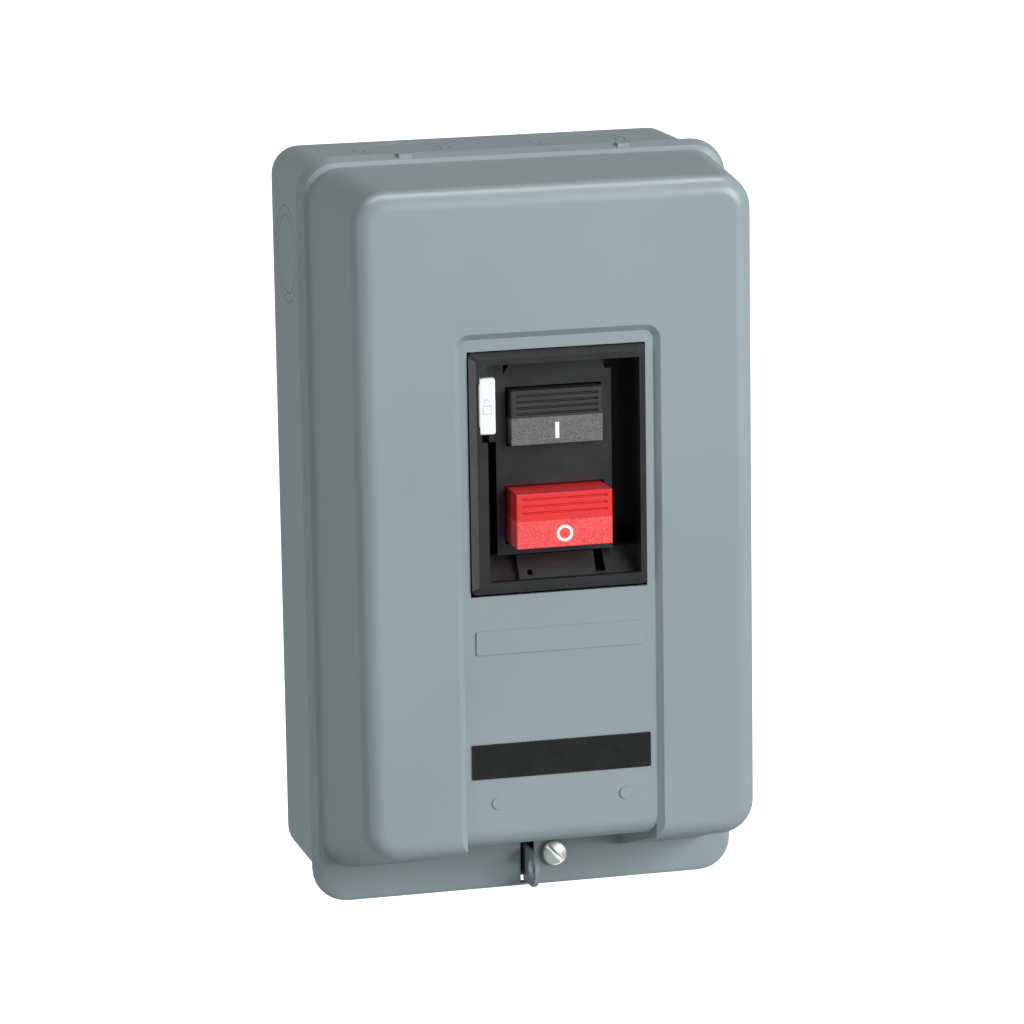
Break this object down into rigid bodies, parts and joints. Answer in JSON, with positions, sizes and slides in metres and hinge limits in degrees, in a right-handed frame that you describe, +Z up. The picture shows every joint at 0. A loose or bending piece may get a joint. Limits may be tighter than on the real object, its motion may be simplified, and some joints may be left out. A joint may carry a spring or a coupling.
{
  "type": "motor starter",
  "caption": "Wall-mounted grey steel motor starter with a lift-off cover, a black bezel, START and STOP buttons, and its contact and overload works inside.",
  "frame": {"origin": "centre of the back box's wall face", "axes": "+X to the right seen from the front, +Y into the wall, +Z up"},
  "size_m": [0.1546, 0.118, 0.2666],
  "materials": {
    "grey_paint": "semi-gloss enamel",
    "zinc_plate": "bright zinc",
    "brass": "satin",
    "green_screw": "dyed",
    "black_plastic": "satin moulding",
    "start_black": "satin with a stippled lower half",
    "stop_red": "satin with a stippled lower half",
    "white_plastic": "satin",
    "label_black": "printed foil",
    "phenolic": "moulded phenolic",
    "carrier_brown": "moulded phenolic",
    "trip_red": "satin",
    "steel": "rolled",
    "coil_tape": "varnished tape",
    "copper": "bright strip",
    "heater_alloy": "heat-tinted"
  },
  "bodies": {
    "enclosure": {"back_box": "grey_paint", "padlock_tab": "grey_paint", "cover_hook_left": "grey_paint", "cover_hook_right": "grey_paint", "screw_bracket": "zinc_plate", "mounting_screw_1": "zinc_plate", "mounting_screw_2": "zinc_plate", "mounting_screw_3": "zinc_plate", "ground_lug": "brass", "ground_screw": "green_screw", "bezel": "black_plastic", "mechanism_housing": "black_plastic", "contact_block": "phenolic", "overload_block": "phenolic", "rocker_pin": "steel", "magnet_yoke": "steel", "holding_coil": "coil_tape", "line_contact_1": "copper", "load_contact_1": "copper", "load_terminal_1": "copper", "line_screw_1": "zinc_plate", "load_screw_1": "zinc_plate", "heater_1": "heater_alloy", "line_contact_2": "copper", "load_contact_2": "copper", "load_terminal_2": "copper", "line_screw_2": "zinc_plate", "load_screw_2": "zinc_plate", "heater_2": "heater_alloy", "line_contact_3": "copper", "load_contact_3": "copper", "load_terminal_3": "copper", "line_screw_3": "zinc_plate", "load_screw_3": "zinc_plate", "heater_3": "heater_alloy"},
    "cover": {"cover": "grey_paint", "label": "label_black"},
    "cover_screw": {"cover_screw": "zinc_plate"},
    "start_button": {"start_button": "start_black"},
    "stop_button": {"stop_button": "stop_red"},
    "rocker": {"rocker": "steel"},
    "contact_carrier": {"contact_carrier": "carrier_brown", "contact_bridge_1": "copper", "contact_bridge_2": "copper", "contact_bridge_3": "copper"},
    "lockout_slide": {"lockout_slide": "white_plastic"},
    "trip_bar": {"trip_bar": "trip_red"},
    "armature": {"armature": "steel"}
  },
  "joints": [
    {"name": "cover_swing", "type": "hinge", "parent": "enclosure", "child": "cover", "pos_m": [0, -0.0555, 0.132], "axis": [-1, 0, 0], "range_deg": [0, 35]},
    {"name": "cover_screw_turn", "type": "hinge", "parent": "cover", "child": "cover_screw", "pos_m": [0.0096, -0.0605, -0.1206], "axis": [0, -1, 0], "continuous": true},
    {"name": "stop_press", "type": "slide", "parent": "enclosure", "child": "stop_button", "axis": [0, 1, 0], "range_m": [0, 0.0083]},
    {"name": "start_release", "type": "slide", "parent": "enclosure", "child": "start_button", "axis": [0, -1, 0], "range_m": [0, 0.0083]},
    {"name": "rocker_tilt", "type": "hinge", "parent": "enclosure", "child": "rocker", "pos_m": [0, -0.078, 0.03025], "axis": [1, 0, 0], "range_deg": [0, 29]},
    {"name": "carrier_travel", "type": "slide", "parent": "enclosure", "child": "contact_carrier", "axis": [0, -1, 0], "range_m": [0, 0.004]},
    {"name": "armature_drop", "type": "hinge", "parent": "enclosure", "child": "armature", "pos_m": [0.055, -0.0379, 0.065], "axis": [-1, 0, 0], "range_deg": [0, 5.5]},
    {"name": "lockout_travel", "type": "slide", "parent": "enclosure", "child": "lockout_slide", "axis": [0, 0, -1], "range_m": [0, 0.02]},
    {"name": "trip_tilt", "type": "hinge", "parent": "enclosure", "child": "trip_bar", "pos_m": [0, -0.042, -0.0056], "axis": [1, 0, 0], "range_deg": [0, 12], "stiffness_Nm_per_rad": 0.01}
  ],
  "couplings": [
    {"joint": "start_release", "follows": "stop_press", "ratio": 1},
    {"joint": "rocker_tilt", "follows": "stop_press", "rad_per_m": 58.894},
    {"joint": "carrier_travel", "follows": "stop_press", "ratio": 0.4807},
    {"joint": "armature_drop", "follows": "stop_press", "rad_per_m": 10.5}
  ]
}
